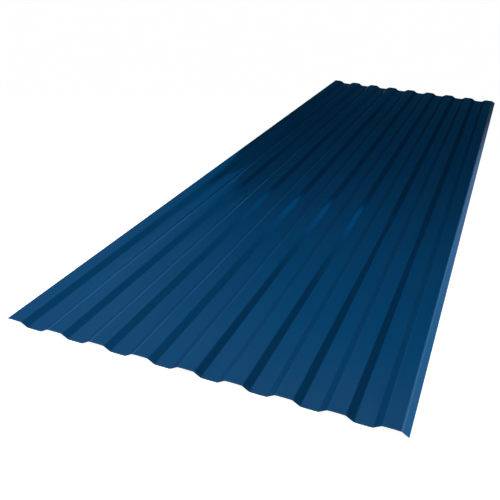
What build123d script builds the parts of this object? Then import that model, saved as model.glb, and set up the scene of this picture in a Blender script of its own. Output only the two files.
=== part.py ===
"""Trapezoidal corrugated steel sheet, roll formed from one flat strip.

The sheet lies on its troughs, as it would on a level floor or across purlins. The ribs run
along Y and the width runs along X. The origin is on the plane that the troughs rest on,
under the middle of the sheet. Lengths are in millimetres.
"""

import os
from math import atan2, sin

from build123d import *

# The strip that the sheet is rolled from
sheet_length = 3000.0
sheet_thickness = 0.5

# The rib profile, measured between the sharp corners of the underside
rib_count = 9
rib_pitch = 110.0
rib_height = 11.0
crest_width = 36.5
slope_run = 18.5
inside_bend_radius = 8.0

# The lip that laps over the next sheet stops this far above the plane of the troughs
lip_clearance = 1.0

# Sizes that follow from those above
trough_width = rib_pitch - crest_width - 2 * slope_run
cover_width = (rib_count - 1) * rib_pitch
lip_run = slope_run * (rib_height - lip_clearance) / rib_height
lip_edge_overhang = sheet_thickness * sin(atan2(rib_height, slope_run))
overall_width = cover_width + crest_width + lip_run + lip_edge_overhang
outside_bend_radius = inside_bend_radius + sheet_thickness


def underside_profile():
    """Gives the sharp corners of the underside, from the flat edge to the lip, and the bend radii.

    A rib folds round its underside, so its two corners have the inside radius there. A trough
    folds round its upper side, so its two corners have the outside radius.
    """
    flat_edge = -overall_width / 2
    corners = [(flat_edge, rib_height), (flat_edge + crest_width, rib_height)]
    radii = [inside_bend_radius]
    for rib in range(1, rib_count):
        crest_start = flat_edge + rib * rib_pitch
        trough_end = crest_start - slope_run
        corners += [
            (trough_end - trough_width, 0),
            (trough_end, 0),
            (crest_start, rib_height),
            (crest_start + crest_width, rib_height),
        ]
        radii += [outside_bend_radius] * 2 + [inside_bend_radius] * 2
    last_crest_end = flat_edge + cover_width + crest_width
    corners.append((last_crest_end + lip_run, lip_clearance))
    return corners, radii


corners, radii = underside_profile()

with BuildPart() as sheet:
    with BuildSketch(Plane.XZ):
        with BuildLine():
            FilletPolyline(*corners, radius=radii)
            offset(amount=sheet_thickness, side=Side.LEFT)
        make_face()
    extrude(amount=sheet_length / 2, both=True)

sheet.part.label = "corrugated_sheet"

os.makedirs("parts", exist_ok=True)
export_step(sheet.part, "parts/corrugated_sheet.step")
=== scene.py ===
"""Look of the painted corrugated steel sheet: its rolled surface, paint, backing coat and cut edges.

The sheet lies flat with its ribs along Y. Its near end is at low Y, and its flat edge is on the left,
at low X. Lengths are in metres, and colours are linear.
"""

import random
from functools import partial, reduce
from math import asin, atan2, cos, pi, radians, sin, tan

import bpy
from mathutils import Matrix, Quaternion, Vector


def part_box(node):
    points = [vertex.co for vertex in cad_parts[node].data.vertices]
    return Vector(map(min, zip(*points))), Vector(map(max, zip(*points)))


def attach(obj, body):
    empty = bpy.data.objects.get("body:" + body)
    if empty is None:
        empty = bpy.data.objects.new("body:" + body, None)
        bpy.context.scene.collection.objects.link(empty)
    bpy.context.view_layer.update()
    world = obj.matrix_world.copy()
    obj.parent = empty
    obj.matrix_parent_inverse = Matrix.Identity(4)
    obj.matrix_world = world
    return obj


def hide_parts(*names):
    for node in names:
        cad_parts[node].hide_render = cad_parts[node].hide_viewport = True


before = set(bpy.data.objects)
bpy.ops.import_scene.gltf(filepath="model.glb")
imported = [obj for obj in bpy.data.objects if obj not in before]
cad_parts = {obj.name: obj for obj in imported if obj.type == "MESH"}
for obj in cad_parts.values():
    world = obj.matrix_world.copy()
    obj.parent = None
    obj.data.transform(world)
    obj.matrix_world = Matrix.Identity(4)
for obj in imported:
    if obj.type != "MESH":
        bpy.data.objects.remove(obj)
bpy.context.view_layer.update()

# The rolled section, with the same sizes as the CAD sheet
sheet_low, sheet_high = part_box("corrugated_sheet")
sheet_length = sheet_high.y - sheet_low.y
sheet_thickness = 0.0005
rib_count = 9
rib_pitch = 0.110
rib_height = 0.011
crest_width = 0.0365
slope_run = 0.0185
inside_bend_radius = 0.008
outside_bend_radius = inside_bend_radius + sheet_thickness
lip_clearance = 0.001
trough_width = rib_pitch - crest_width - 2 * slope_run
flank_angle = atan2(rib_height, slope_run)

# Where the last crest bends down into the lip, and half the width of that bend
lip_bend = sheet_low.x + (rib_count - 1) * rib_pitch + crest_width
bend_half = outside_bend_radius * tan(flank_angle / 2)

# Rolling leaves the crests a little crowned and the troughs a little sunk,
# by an amount that drifts along the length
crest_tilt = radians(2.6)
trough_tilt = radians(2.2)
flattening_share = 0.3
shortest_drift = 0.9
longest_drift = 1.7
drift_seed = 11

# How finely the mesh follows the section and the length
flat_steps = 10
slope_steps = 2
bend_steps = 6
length_steps = 100

# Material slots of the sheet
paint_slot, backing_slot, cut_slot, lip_slot = range(4)

# Paint colours, pale colours for painted light on it, and the tint of its gloss at a low angle
deep_blue = (0.0044, 0.0655, 0.180, 1)
even_blue = (0.0052, 0.0745, 0.203, 1)
streak_blue = (0.0068, 0.088, 0.231, 1)
# A paler blue for rub marks, and for the lip, where it is painted light
rubbed_and_lit_blue = (0.03, 0.14, 0.27, 1)
# A pale blue for painted highlights along the crest shoulders and the lip's bend
highlight_blue = (0.085, 0.28, 0.56, 1)
# A pale grey for a painted sheen on the near end
sheen_grey = (0.11, 0.155, 0.22, 1)
gloss_tint = (0.32, 0.60, 0.90, 1)

# Colours of the backing coat and the cut edge
backing_grey = (0.40, 0.41, 0.40, 1)
pale_backing_grey = (0.50, 0.51, 0.50, 1)
rolling_line_grey = (0.36, 0.37, 0.37, 1)
steel_grey = (0.22, 0.23, 0.24, 1)
zinc_grey = (0.48, 0.49, 0.50, 1)

# Colours of the stage
white = (1, 1, 1, 1)
black = (0, 0, 0, 1)
floor_grey = (0.70, 0.70, 0.70, 1)
pale_floor_grey = (0.74, 0.74, 0.74, 1)
card_glow = (0.85, 0.68, 0.78, 1)

# Camera, from the photograph's perspective
camera_place = Vector((0.4966, -2.5495, 0.8773))
camera_target = Vector((-0.0992, -0.8858, 0.0))
camera_roll = radians(3.44)
camera_lens = 48.36
sensor_size = 36.0


def drift(generator):
    """Gives a function of the place along the length that wanders between 0 and the flattening share."""
    wave_length = generator.uniform(shortest_drift, longest_drift)
    phase = generator.uniform(0, 2 * pi)

    def at(y):
        return flattening_share * (1 + sin(2 * pi * y / wave_length + phase)) / 2

    return at


class Station:
    """A point of the section's underside, with the way to the upper side and its share of a bow."""

    def __init__(self, x, z, heading, bow, wander):
        self.x = x
        self.z = z
        self.across = -sin(heading)
        self.up = cos(heading)
        self.bow = bow
        self.wander = wander

    def place(self, y, lift):
        """Gives the point at that place along the length, lifted off the underside by that much."""
        loss = self.bow * self.wander(y) if self.wander else 0
        return (self.x + self.across * lift, y, self.z + self.up * lift - loss)


class Pen:
    """Draws the section's underside as a chain of arcs and straight runs, with a station at each step."""

    def __init__(self, x, z, heading):
        self.x = x
        self.z = z
        self.heading = heading
        self.stations = []
        self.mark()

    def mark(self, bow=0, wander=None):
        """Leaves a station where the pen is."""
        self.stations.append(Station(self.x, self.z, self.heading, bow, wander))

    def run(self, length, steps):
        """Goes straight on."""
        for step in range(steps):
            self.x += length / steps * cos(self.heading)
            self.z += length / steps * sin(self.heading)
            self.mark()

    def turn(self, radius, heading, steps, bow=0, wander=None):
        """Follows an arc to the new heading. Its middle may lose the given bow, by a share that wanders."""
        first = self.heading
        side = 1 if heading > first else -1
        for step in range(1, steps + 1):
            share = step / steps
            before = self.heading
            self.heading = first + (heading - first) * share
            self.x += side * radius * (sin(self.heading) - sin(before))
            self.z -= side * radius * (cos(self.heading) - cos(before))
            # The whole bow in the middle of the arc, and none at its ends
            self.mark(bow * 4 * share * (1 - share), wander)


class Bow:
    """A flat that is rolled slightly round. The flank beside it stays in the plane of the CAD flank."""

    def __init__(self, width, bend_radius, tilt):
        bend_run = bend_radius * (sin(flank_angle) - sin(tilt))
        bend_drop = bend_radius * (cos(tilt) - cos(flank_angle))
        flat_half = width / 2 + bend_drop / tan(flank_angle) - bend_run
        half_chord = flat_half / (1 - tan(tilt / 2) / tan(flank_angle))
        self.height = half_chord * tan(tilt / 2)
        self.radius = half_chord / sin(tilt)
        self.flank_taken = (self.height + bend_drop) / sin(flank_angle)


def section():
    """Gives the stations of the whole section, from the flat edge to the lip."""
    generator = random.Random(drift_seed)
    crest = Bow(crest_width, inside_bend_radius, crest_tilt)
    trough = Bow(trough_width, outside_bend_radius, trough_tilt)
    flank = rib_height / sin(flank_angle) - crest.flank_taken - trough.flank_taken
    lip = (rib_height - lip_clearance) / sin(flank_angle) - crest.flank_taken
    edge_tilt = asin(crest_width / 2 / (crest.radius + sheet_thickness))
    edge_drop = crest.radius * (1 - cos(edge_tilt))
    pen = Pen(sheet_low.x + sheet_thickness * sin(edge_tilt), rib_height - edge_drop, edge_tilt)
    pen.turn(crest.radius, -crest_tilt, flat_steps, crest.height, drift(generator))
    for rib in range(1, rib_count):
        pen.turn(inside_bend_radius, -flank_angle, bend_steps)
        pen.run(flank, slope_steps)
        pen.turn(outside_bend_radius, -trough_tilt, bend_steps)
        pen.turn(trough.radius, trough_tilt, flat_steps, -trough.height, drift(generator))
        pen.turn(outside_bend_radius, flank_angle, bend_steps)
        pen.run(flank, slope_steps)
        pen.turn(inside_bend_radius, crest_tilt, bend_steps)
        pen.turn(crest.radius, -crest_tilt, flat_steps, crest.height, drift(generator))
    pen.turn(inside_bend_radius, -flank_angle, bend_steps)
    pen.run(lip, slope_steps)
    return pen.stations


def sheet_mesh():
    """Builds the sheet with its paint, backing coat, cut edges and lip in four material slots."""
    stations = section()
    columns = len(stations)
    last_column = columns - 1
    points = []
    for lift in (sheet_thickness, 0):
        for row in range(length_steps + 1):
            y = sheet_low.y + sheet_length * row / length_steps
            points += [station.place(y, lift) for station in stations]
    layer_size = columns * (length_steps + 1)
    top, bottom = range(2)

    def at(row, column, layer):
        return layer * layer_size + row * columns + column

    def cut_face(first, second, start, end):
        return [at(*first, start), at(*second, start), at(*second, end), at(*first, end)]

    upper, lower, cut = [], [], []
    for row in range(length_steps):
        for column in range(last_column):
            quad = [(row, column), (row, column + 1), (row + 1, column + 1), (row + 1, column)]
            upper.append([at(*corner, top) for corner in quad])
            lower.append([at(*corner, bottom) for corner in reversed(quad)])
        cut.append(cut_face((row, 0), (row + 1, 0), top, bottom))
        cut.append(cut_face((row, last_column), (row + 1, last_column), bottom, top))
    for column in range(last_column):
        cut.append(cut_face((0, column), (0, column + 1), bottom, top))
        cut.append(cut_face((length_steps, column), (length_steps, column + 1), top, bottom))
    mesh = bpy.data.meshes.new("painted_sheet")
    mesh.from_pydata(points, [], upper + lower + cut)
    lip_columns = slope_steps + bend_steps // 2
    row_slots = [paint_slot] * (last_column - lip_columns) + [lip_slot] * lip_columns
    slots = row_slots * length_steps + [backing_slot] * len(lower) + [cut_slot] * len(cut)
    mesh.polygons.foreach_set("material_index", slots)
    mesh.polygons.foreach_set("use_smooth", [True] * len(slots))
    mesh.update()
    sharpen_cut_edges(mesh)
    return mesh


def sharpen_cut_edges(mesh):
    """Marks the edges between the cut faces and the two sides as sharp."""
    slots_at_edge = {}
    for polygon in mesh.polygons:
        slot = paint_slot if polygon.material_index == lip_slot else polygon.material_index
        for key in polygon.edge_keys:
            slots_at_edge.setdefault(key, set()).add(slot)
    for edge in mesh.edges:
        edge.use_edge_sharp = len(slots_at_edge[edge.key]) > 1


class Graph:
    """A node tree that is built from short calls."""

    def __init__(self, tree):
        self.tree = tree
        self.tree.nodes.clear()

    def node(self, kind, inputs=None, **settings):
        """Adds a node with those settings, and feeds its inputs."""
        made = self.tree.nodes.new(kind)
        for name, value in settings.items():
            setattr(made, name, value)
        for key, value in (inputs or {}).items():
            self.feed(made.inputs[key], value)
        return made

    def feed(self, socket, value):
        """Links the socket to another node's output, or sets it to a plain value."""
        if isinstance(value, bpy.types.NodeSocket):
            self.tree.links.new(value, socket)
        else:
            socket.default_value = value

    def math(self, operation, first, second=0.0):
        """Works out one value from one or two others."""
        return self.node("ShaderNodeMath", {0: first, 1: second}, operation=operation).outputs[0]

    def product(self, *values):
        return reduce(partial(self.math, "MULTIPLY"), values)

    def largest(self, *values):
        return reduce(partial(self.math, "MAXIMUM"), values)

    def ramp(self, value, span, levels=(0.0, 1.0)):
        """Goes smoothly from the first level to the second as the value crosses the span."""
        made = self.node(
            "ShaderNodeMapRange",
            {
                "Value": value,
                "From Min": span[0],
                "From Max": span[1],
                "To Min": levels[0],
                "To Max": levels[1],
            },
            interpolation_type="SMOOTHSTEP",
        )
        return made.outputs["Result"]

    def noise(self, place, scale, detail=2.0, along=1.0, upward=1.0):
        """Gives noise of that scale, which small factors draw out along the length or the height."""
        stretch = (1.0, along, upward)
        drawn_out = self.node("ShaderNodeMapping", {"Vector": place, "Scale": stretch}).outputs[0]
        made = self.node("ShaderNodeTexNoise", {"Vector": drawn_out, "Scale": scale, "Detail": detail})
        return made.outputs["Fac"]

    def blend(self, share, first, second):
        """Mixes two colours."""
        made = self.node("ShaderNodeMix", data_type="RGBA")
        self.feed(made.inputs[0], share)
        self.feed(made.inputs[6], first)
        self.feed(made.inputs[7], second)
        return made.outputs[2]

    def number_blend(self, share, first, second):
        """Mixes two numbers."""
        made = self.node("ShaderNodeMix", {0: share, 2: first, 3: second}, data_type="FLOAT")
        return made.outputs[0]

    def bump(self, height, strength, depth):
        """Gives the normal of a surface that is raised by that height, as a share of the depth."""
        made = self.node("ShaderNodeBump", {"Height": height, "Strength": strength, "Distance": depth})
        return made.outputs[0]

    def part(self, place, axis):
        """Gives the part of a place or a direction along that axis."""
        return self.node("ShaderNodeSeparateXYZ", {0: place}).outputs[axis]


def new_material(name):
    """Makes an empty material. Gives it with its graph, the place on the object and the surface to feed."""
    material = bpy.data.materials.new(name)
    material.use_nodes = True
    graph = Graph(material.node_tree)
    place = graph.node("ShaderNodeTexCoord").outputs["Object"]
    output = graph.node("ShaderNodeOutputMaterial")
    return material, graph, place, output.inputs["Surface"]


def from_near_end(start, end):
    """Gives a span along the length, from two distances to the near end."""
    return (sheet_low.y + start, sheet_low.y + end)


def streak_share(graph, place):
    """Gives faint streaks along the length, which rolling leaves in the paint."""
    noise_span = (0.3, 0.7)
    strongest_share = 0.16
    streaks = graph.noise(place, scale=260.0, along=0.004)
    return graph.ramp(streaks, noise_span, (0.0, strongest_share))


def rub_marks(graph, place):
    """Gives 1 on thin marks along the length, here and there, and 0 beside them."""
    mark_span = (0.74, 0.82)
    spread_span = (0.52, 0.68)
    marks = graph.ramp(graph.noise(place, scale=900.0, detail=0.0, along=0.02), mark_span)
    spread = graph.ramp(graph.noise(place, scale=6.0, along=0.6), spread_span)
    return graph.product(marks, spread)


def rub_and_lip_light_share(graph, across, rubbed):
    """Gives how far the paint is made pale: a little where it is rubbed on the marks, and more on the lip,
    as painted light.
    """
    mark_share = 0.20
    lip_light_share = 0.5
    # The lip is painted paler: painted light
    lip_light = graph.ramp(across, (lip_bend - bend_half, lip_bend), (0.0, lip_light_share))
    return graph.math("ADD", graph.product(rubbed, mark_share), lip_light)


def painted_sheen_share(graph, across, along, patches):
    """Gives a faint uneven painted sheen of pale grey.

    It lies over the near left corner, off the flanks that face right, and on the flats of the near end.
    """
    rightward_span = (0.10, 0.35)
    level_span = (0.90, 0.98)
    corner_slant = 1.4
    corner_span = from_near_end(-0.2, 0.7)
    corner_share = 0.084
    near_span = from_near_end(-0.15, 0.4)
    near_share = 0.08
    patch_span = (0.2, 0.8)
    patch_shares = (0.7, 1.3)
    normal = graph.node("ShaderNodeNewGeometry").outputs["Normal"]
    off_right_flanks = graph.ramp(graph.part(normal, "X"), rightward_span, (1.0, 0.0))
    on_flats = graph.ramp(graph.part(normal, "Z"), level_span)
    from_corner = graph.math("ADD", along, graph.product(across, corner_slant))
    corner_sheen = graph.product(graph.ramp(from_corner, corner_span, (corner_share, 0.0)), off_right_flanks)
    near_sheen = graph.product(graph.ramp(along, near_span, (near_share, 0.0)), on_flats)
    sheen = graph.largest(corner_sheen, near_sheen)
    return graph.product(sheen, graph.ramp(patches, patch_span, patch_shares))


def shoulder_highlight_share(graph, place, across, along):
    """Gives painted highlights: thin pale lines along the left shoulders of the crests, strongest on the
    left-hand ribs.
    """
    line_inset = 0.0005
    line_span = (0.0008, 0.0020)
    gap_span = (0.42, 0.62)
    gap_shares = (0.5, 1.0)
    across_span = (-0.2, 0.1)
    across_shares = (0.44, 0.06)
    near_span = from_near_end(0.2, 0.8)
    near_shares = (0.6, 1.0)
    middle_share = 0.5
    first_pitch = sheet_low.x - rib_pitch / 2 + line_inset
    pitches = graph.math("DIVIDE", graph.math("SUBTRACT", across, first_pitch), rib_pitch)
    from_middle = graph.math("SUBTRACT", graph.math("FRACT", pitches), middle_share)
    from_line = graph.product(graph.math("ABSOLUTE", from_middle), rib_pitch)
    line = graph.ramp(from_line, line_span, (1.0, 0.0))
    gaps = graph.ramp(graph.noise(place, scale=40.0, detail=3.0, along=0.12), gap_span, gap_shares)
    highlight_strength = graph.product(
        gaps,
        graph.ramp(across, across_span, across_shares),
        graph.ramp(along, near_span, near_shares),
    )
    return graph.product(line, highlight_strength)


def bend_highlight_share(graph, across):
    """Gives a painted highlight: a pale line along the bend of the lip."""
    line_offset = 0.0016
    line_half = 0.0010
    full_share = 0.90
    from_line = graph.math("ABSOLUTE", graph.math("SUBTRACT", across, lip_bend + line_offset))
    return graph.ramp(from_line, (line_half, bend_half), (full_share, 0.0))


def paint_material(name, specular_level):
    """Blue coil coating: even and glossy, with rolling streaks, a fine orange peel and a few rub marks, and
    with a painted sheen, a painted paler lip and painted highlights on the bends.
    """
    patch_span = (0.25, 0.75)
    roughness_levels = (0.055, 0.075)
    rub_roughness = 0.18
    peel_strength = 0.03
    peel_depth = 0.0002
    material, graph, place, surface = new_material(name)
    across = graph.part(place, "X")
    along = graph.part(place, "Y")
    patches = graph.noise(place, scale=4.0, along=0.4)
    rubbed = rub_marks(graph, place)
    # Painted highlights along the crest shoulders and the lip's bend
    painted_highlights = graph.largest(shoulder_highlight_share(graph, place, across, along), bend_highlight_share(graph, across))
    tone = graph.blend(patches, deep_blue, even_blue)
    tone = graph.blend(streak_share(graph, place), tone, streak_blue)
    # Rub marks, and the lip painted paler as painted light
    tone = graph.blend(rub_and_lip_light_share(graph, across, rubbed), tone, rubbed_and_lit_blue)
    # A pale grey painted sheen on the near end
    tone = graph.blend(painted_sheen_share(graph, across, along, patches), tone, sheen_grey)
    # The painted highlights, in pale blue
    tone = graph.blend(painted_highlights, tone, highlight_blue)
    roughness = graph.ramp(patches, patch_span, roughness_levels)
    roughness = graph.math("ADD", roughness, graph.product(rubbed, rub_roughness))
    peel = graph.noise(place, scale=520.0)
    shader = graph.node(
        "ShaderNodeBsdfPrincipled",
        {
            "Base Color": tone,
            "Metallic": 0.27,
            "Roughness": roughness,
            "Specular IOR Level": specular_level,
            "Specular Tint": gloss_tint,
            "Normal": graph.bump(peel, peel_strength, peel_depth),
        },
    )
    graph.feed(surface, shader.outputs[0])
    return material


def backing_material():
    """Pale grey backing coat of the underside, thin enough to show the strip's rolling lines."""
    line_span = (0.35, 0.7)
    line_share = 0.35
    roughness_span = (0.3, 0.7)
    roughness_levels = (0.42, 0.55)
    line_strength = 0.08
    line_depth = 0.0002
    material, graph, place, surface = new_material("grey_backing_coat")
    lines = graph.noise(place, scale=320.0, along=0.006)
    cloud = graph.noise(place, scale=9.0, detail=4.0, along=0.5)
    tone = graph.blend(cloud, backing_grey, pale_backing_grey)
    tone = graph.blend(graph.ramp(lines, line_span, (0.0, line_share)), tone, rolling_line_grey)
    shader = graph.node(
        "ShaderNodeBsdfPrincipled",
        {
            "Base Color": tone,
            "Metallic": 0.1,
            "Roughness": graph.ramp(lines, roughness_span, roughness_levels),
            "Normal": graph.bump(lines, line_strength, line_depth),
        },
    )
    graph.feed(surface, shader.outputs[0])
    return material


def cut_edge_material():
    """Bare sheared steel with its zinc smeared along the cut."""
    roughness_span = (0.3, 0.7)
    roughness_levels = (0.35, 0.6)
    smear_strength = 0.15
    smear_depth = 0.0001
    material, graph, place, surface = new_material("sheared_zinc_edge")
    smear = graph.noise(place, scale=700.0, detail=3.0, upward=0.3)
    shader = graph.node(
        "ShaderNodeBsdfPrincipled",
        {
            "Base Color": graph.blend(smear, steel_grey, zinc_grey),
            "Metallic": 0.9,
            "Roughness": graph.ramp(smear, roughness_span, roughness_levels),
            "Normal": graph.bump(smear, smear_strength, smear_depth),
        },
    )
    graph.feed(surface, shader.outputs[0])
    return material


def link_object(name, data):
    """Puts an object with that mesh, lamp or camera into the scene."""
    made = bpy.data.objects.new(name, data)
    bpy.context.scene.collection.objects.link(made)
    return made


# The sheet, with its materials in the order of the slots
sheet = link_object("painted_sheet", sheet_mesh())
sheet_materials = (
    paint_material("blue_coil_paint", specular_level=0.0),
    backing_material(),
    cut_edge_material(),
    paint_material("blue_lip_paint", specular_level=0.01),
)
for material in sheet_materials:
    sheet.data.materials.append(material)
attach(sheet, "root")
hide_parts("corrugated_sheet")


def seen_share(graph):
    """Gives 1 for rays from the camera, a reflection or glass, and 0 for the rest."""
    path = graph.node("ShaderNodeLightPath")
    return graph.largest(
        path.outputs["Is Camera Ray"],
        path.outputs["Is Glossy Ray"],
        path.outputs["Is Transmission Ray"],
    )


def rectangle(half_width, start, end):
    """Gives the four corners of a rectangle that lies evenly about the middle of the sheet's width."""
    return [(-half_width, start), (half_width, start), (half_width, end), (-half_width, end)]


def stage_face(name, corners, material):
    """Makes one flat face of the stage."""
    mesh = bpy.data.meshes.new(name)
    mesh.from_pydata(corners, [], [(0, 1, 2, 3)])
    mesh.materials.append(material)
    face = link_object(name, mesh)
    return face


def make_floor():
    """A plain pale floor that reads as white and still takes the sheet's shadow."""
    half_size = 40.0
    drop = 0.0002
    glow_share = 0.88
    material, graph, place, surface = new_material("pale_floor")
    tone = graph.blend(graph.noise(place, scale=3.0), floor_grey, pale_floor_grey)
    matt = graph.node("ShaderNodeBsdfDiffuse", {"Color": tone})
    glow = graph.node("ShaderNodeEmission", {"Strength": graph.product(seen_share(graph), glow_share)})
    both = graph.node("ShaderNodeAddShader", {0: matt.outputs[0], 1: glow.outputs[0]})
    graph.feed(surface, both.outputs[0])
    corners = [(x, y, -drop) for x, y in rectangle(half_size, -half_size, half_size)]
    stage_face("floor", corners, material)


def make_lamp(name, place, target, size, power, spread):
    """A square soft lamp that lights the sheet and doesn't show, not even in a reflection."""
    light = bpy.data.lights.new(name, "AREA")
    light.shape = "SQUARE"
    light.size = size
    light.energy = power
    light.spread = spread
    lamp = link_object(name, light)
    lamp.location = place
    lamp.rotation_mode = "QUATERNION"
    lamp.rotation_quaternion = (target - place).to_track_quat("-Z", "Y")
    lamp.visible_camera = False
    lamp.visible_glossy = False


def make_world():
    """White wherever it is seen, directly or in a reflection, and a plain light, stronger from the left."""
    light_levels = (0.19, 0.125)
    world = bpy.data.worlds.new("studio")
    bpy.context.scene.world = world
    world.use_nodes = True
    graph = Graph(world.node_tree)
    output = graph.node("ShaderNodeOutputWorld")
    direction = graph.node("ShaderNodeTexCoord").outputs["Generated"]
    light_level = graph.ramp(graph.part(direction, "X"), (-1.0, 1.0), light_levels)
    level = graph.number_blend(seen_share(graph), light_level, 1.0)
    background = graph.node("ShaderNodeBackground", {"Color": white, "Strength": level})
    graph.feed(output.inputs["Surface"], background.outputs[0])


def dark_card(name, corners, look):
    """A card that shows only in reflections. Its look gives how dark it is and how much it glows."""
    material, graph, place, surface = new_material(name)
    clear = graph.node("ShaderNodeBsdfTransparent")
    dark = graph.node("ShaderNodeBsdfDiffuse", {"Color": black})
    dark_share, glow_level = look(graph, place)
    glow = graph.node("ShaderNodeEmission", {"Color": card_glow, "Strength": glow_level})
    lit = graph.node("ShaderNodeAddShader", {0: clear.outputs[0], 1: glow.outputs[0]})
    both = graph.node("ShaderNodeMixShader", {0: dark_share, 1: lit.outputs[0], 2: dark.outputs[0]})
    graph.feed(surface, both.outputs[0])
    card = stage_face(name, corners, material)
    card.visible_camera = False
    card.visible_diffuse = False
    card.visible_shadow = False


def main_shade(graph, across, height):
    """The main shade of the wall, deep below and thin above.

    Its left part, with a sharp left edge, is for the flats. The right part, which reaches higher, is for
    the flanks that face right.
    """
    left_edge_span = (-4.52, -4.42)
    left_span = (-4.4, -1.5)
    left_shares = (0.92, 0.78)
    right_span = (0.6, 1.2)
    right_share = 0.97
    fade_starts = (2.5, 6.0)
    fade_end = 8.5
    top_share = 0.12
    left = graph.ramp(across, left_span, left_shares)
    deepest = graph.largest(left, graph.ramp(across, right_span, (0.0, right_share)))
    fade_start = graph.ramp(across, right_span, fade_starts)
    shade = graph.ramp(height, (fade_start, fade_end), (deepest, top_share))
    return graph.product(shade, graph.ramp(across, left_edge_span))


def skirt_shade(graph, across, height):
    """A deep shade below a slanting line on the left, for the flanks that face left."""
    slope = 0.52
    line_span = (0.15, 0.4)
    deepest_share = 0.985
    left_end_span = (-10.0, -9.4)
    from_line = graph.math("ADD", height, graph.product(across, slope))
    shade = graph.ramp(from_line, line_span, (deepest_share, 0.0))
    return graph.product(shade, graph.ramp(across, left_end_span))


def left_shade(graph, across):
    """A thin shade on the far left, for the flats of the near end."""
    fade_span = (-7.5, -5.0)
    deepest_share = 0.10
    return graph.ramp(across, fade_span, (deepest_share, 0.0))


def veil_shade(graph, across, height):
    """A middling shade above a steep slanting line on the left, for the flats of the left-hand ribs."""
    slope = 0.93
    line_span = (-0.2, 0.6)
    deepest_share = 0.40
    top_span = (6.4, 8.8)
    right_end_span = (-4.2, -3.2)
    from_line = graph.math("ADD", height, graph.product(across, slope))
    return graph.product(
        graph.ramp(from_line, line_span, (0.0, deepest_share)),
        graph.ramp(height, top_span, (1.0, 0.0)),
        graph.ramp(across, right_end_span, (1.0, 0.0)),
    )


def haze_shade(graph, across, slant, rise):
    """The shade that goes on beyond the slanting edge on the right, for the flanks that face right."""
    upper_span = (1.8, 2.0)
    upper_shares = (0.89, 0.4)
    slant_span = (5.9, 8.8)
    lower_span = (1.12, 1.24)
    lower_across_span = (2.4, 4.4)
    lower_shares = (0.97, 0.86)
    left_end_span = (0.9, 1.3)
    upper = graph.product(graph.ramp(rise, upper_span, upper_shares), graph.ramp(slant, slant_span))
    lower_deepest = graph.ramp(across, lower_across_span, lower_shares)
    lower = graph.ramp(rise, lower_span, (lower_deepest, 0.0))
    return graph.product(graph.largest(upper, lower), graph.ramp(across, left_end_span))


def lip_window(graph, across, rise):
    """Gives 1 in the low part of the right, which only the lip shows, and 0 elsewhere."""
    rise_span = (0.66, 0.72)
    left_end_span = (1.8, 3.2)
    return graph.product(graph.ramp(rise, rise_span, (1.0, 0.0)), graph.ramp(across, left_end_span))


def streak_glow(graph, across, slant, rise):
    """A glow just beyond the slanting edge on the right, for the bright streaks on the middle ribs."""
    slant_span = (5.7, 7.3)
    full_level = 1.25
    bottom_span = (1.12, 1.24)
    top_span = (2.8, 4.4)
    left_end_span = (1.0, 1.4)
    return graph.product(
        graph.ramp(slant, slant_span, (full_level, 0.0)),
        graph.ramp(rise, bottom_span),
        graph.ramp(rise, top_span, (1.0, 0.0)),
        graph.ramp(across, left_end_span),
    )


def wall_look(graph, place):
    """Gives how dark the wall is and how much it glows.

    Each flank that faces right shows a line of the wall that goes up from one foot, with a steep rise for
    the left-hand ribs and a gentle one for the lip. A slanting edge, where the main shade ends, crosses
    these lines.
    """
    slant_slope = 1.35
    slant_edge_span = (5.60, 5.72)
    foot_across = 0.41
    least_run = 0.1
    lip_glow_span = (2.0, 4.6)
    lip_glow_levels = (0.5, 1.9)
    across = graph.part(place, "X")
    height = graph.part(place, "Z")
    slant = graph.math("ADD", graph.math("DIVIDE", height, slant_slope), across)
    run = graph.largest(graph.math("SUBTRACT", across, foot_across), least_run)
    rise = graph.math("DIVIDE", height, run)
    shade = graph.largest(
        main_shade(graph, across, height),
        skirt_shade(graph, across, height),
        left_shade(graph, across),
        veil_shade(graph, across, height),
    )
    shade = graph.product(shade, graph.ramp(slant, slant_edge_span, (1.0, 0.0)))
    shade = graph.largest(shade, haze_shade(graph, across, slant, rise))
    window = lip_window(graph, across, rise)
    shade = graph.product(shade, graph.math("SUBTRACT", 1.0, window))
    lip_glow = graph.product(window, graph.ramp(across, lip_glow_span, lip_glow_levels))
    return shade, graph.math("ADD", streak_glow(graph, across, slant, rise), lip_glow)


def flag_look(graph, place):
    """Gives how dark the flag is, up to its right end. It doesn't glow."""
    right_end_span = (0.8, 1.0)
    full_share = 0.9
    return graph.ramp(graph.part(place, "X"), right_end_span, (full_share, 0.0)), 0.0


def make_backdrop():
    """A dark wall far behind the sheet, outside the view, and a dark flag on the floor before it."""
    wall_distance = 10.0
    wall_top = 14.0
    half_width = 14.0
    flag_gap = 0.02
    flag_lift = 0.001
    wall = [(x, wall_distance, z) for x, z in rectangle(half_width, 0, wall_top)]
    dark_card("dark_wall", wall, wall_look)
    flag = [(x, y, flag_lift) for x, y in rectangle(half_width, sheet_high.y + flag_gap, wall_distance)]
    dark_card("dark_flag", flag, flag_look)


make_floor()
make_world()
make_backdrop()
make_lamp(
    "near_softbox",
    place=Vector((-2.2, -2.6, 4.6)),
    target=Vector((-0.1, -1.9, 0.0)),
    size=1.5,
    power=14.2,
    spread=radians(46),
)
make_lamp(
    "side_softbox",
    place=Vector((-1.9, -1.25, 1.15)),
    target=Vector((-0.8, -1.15, 0.0)),
    size=0.6,
    power=1.1,
    spread=radians(54),
)

camera = link_object("camera", bpy.data.cameras.new("camera"))
camera.data.lens = camera_lens
camera.data.sensor_width = sensor_size
camera.location = camera_place
camera.rotation_mode = "QUATERNION"
aim = (camera_target - camera_place).to_track_quat("-Z", "Y")
camera.rotation_quaternion = aim @ Quaternion((0, 0, 1), camera_roll)
bpy.context.scene.camera = camera
bpy.context.scene.view_settings.view_transform = "Standard"
